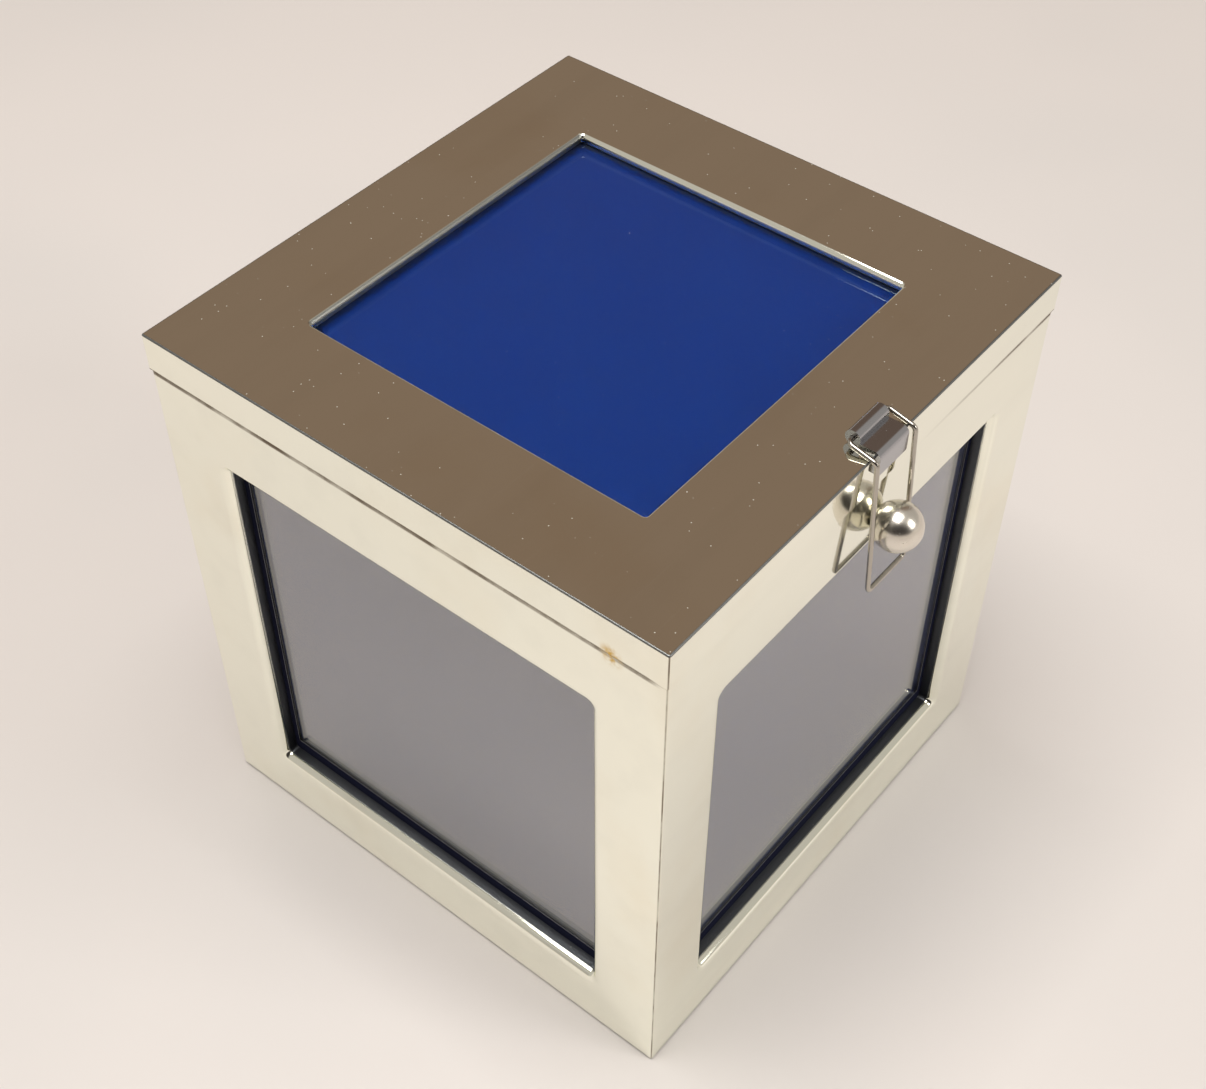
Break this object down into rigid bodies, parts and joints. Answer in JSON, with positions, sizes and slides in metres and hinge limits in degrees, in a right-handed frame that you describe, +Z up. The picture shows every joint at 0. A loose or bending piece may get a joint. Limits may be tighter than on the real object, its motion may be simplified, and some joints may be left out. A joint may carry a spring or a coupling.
{
  "type": "photo cube box",
  "caption": "Silver-plated photo cube box: glazed picture windows in the sides and in the hinged lid, closed by a wire loop that hangs over a ball catch.",
  "frame": {"origin": "middle of the felt underside, on the surface the box stands on", "axes": "+Z up, -Y towards the clasp, hinge along X at the back"},
  "size_m": [0.1, 0.1105, 0.1091],
  "materials": {
    "silver_plate": "polished",
    "glass": "polished",
    "blue_card": "satin print",
    "velvet": "velvet",
    "felt": "felt"
  },
  "bodies": {
    "body": {"body_shell": "silver_plate", "base_plate": "silver_plate", "hinge_body_leaf": "silver_plate", "hinge_pin": "silver_plate", "catch_ball": "silver_plate", "glass_front": "glass", "glass_right": "glass", "glass_back": "glass", "glass_left": "glass", "card_front": "blue_card", "card_right": "blue_card", "card_back": "blue_card", "card_left": "blue_card", "liner_front": "velvet", "liner_right": "velvet", "liner_back": "velvet", "liner_left": "velvet", "liner_floor": "velvet", "base_felt": "felt"},
    "lid": {"lid_shell": "silver_plate", "lid_glass": "glass", "lid_card": "blue_card", "lid_backing": "velvet", "hinge_lid_leaf": "silver_plate", "clasp_bracket": "silver_plate"},
    "loop": {"clasp_loop": "silver_plate"}
  },
  "joints": [
    {"name": "lid_hinge", "type": "hinge", "parent": "body", "child": "lid", "pos_m": [0, 0.05175, 0.0996], "axis": [-1, 0, 0], "range_deg": [0, 105]},
    {"name": "loop_swing", "type": "hinge", "parent": "lid", "child": "loop", "pos_m": [0.0008, -0.046, 0.1078], "axis": [-1, 0, 0], "range_deg": [0, 180]}
  ]
}
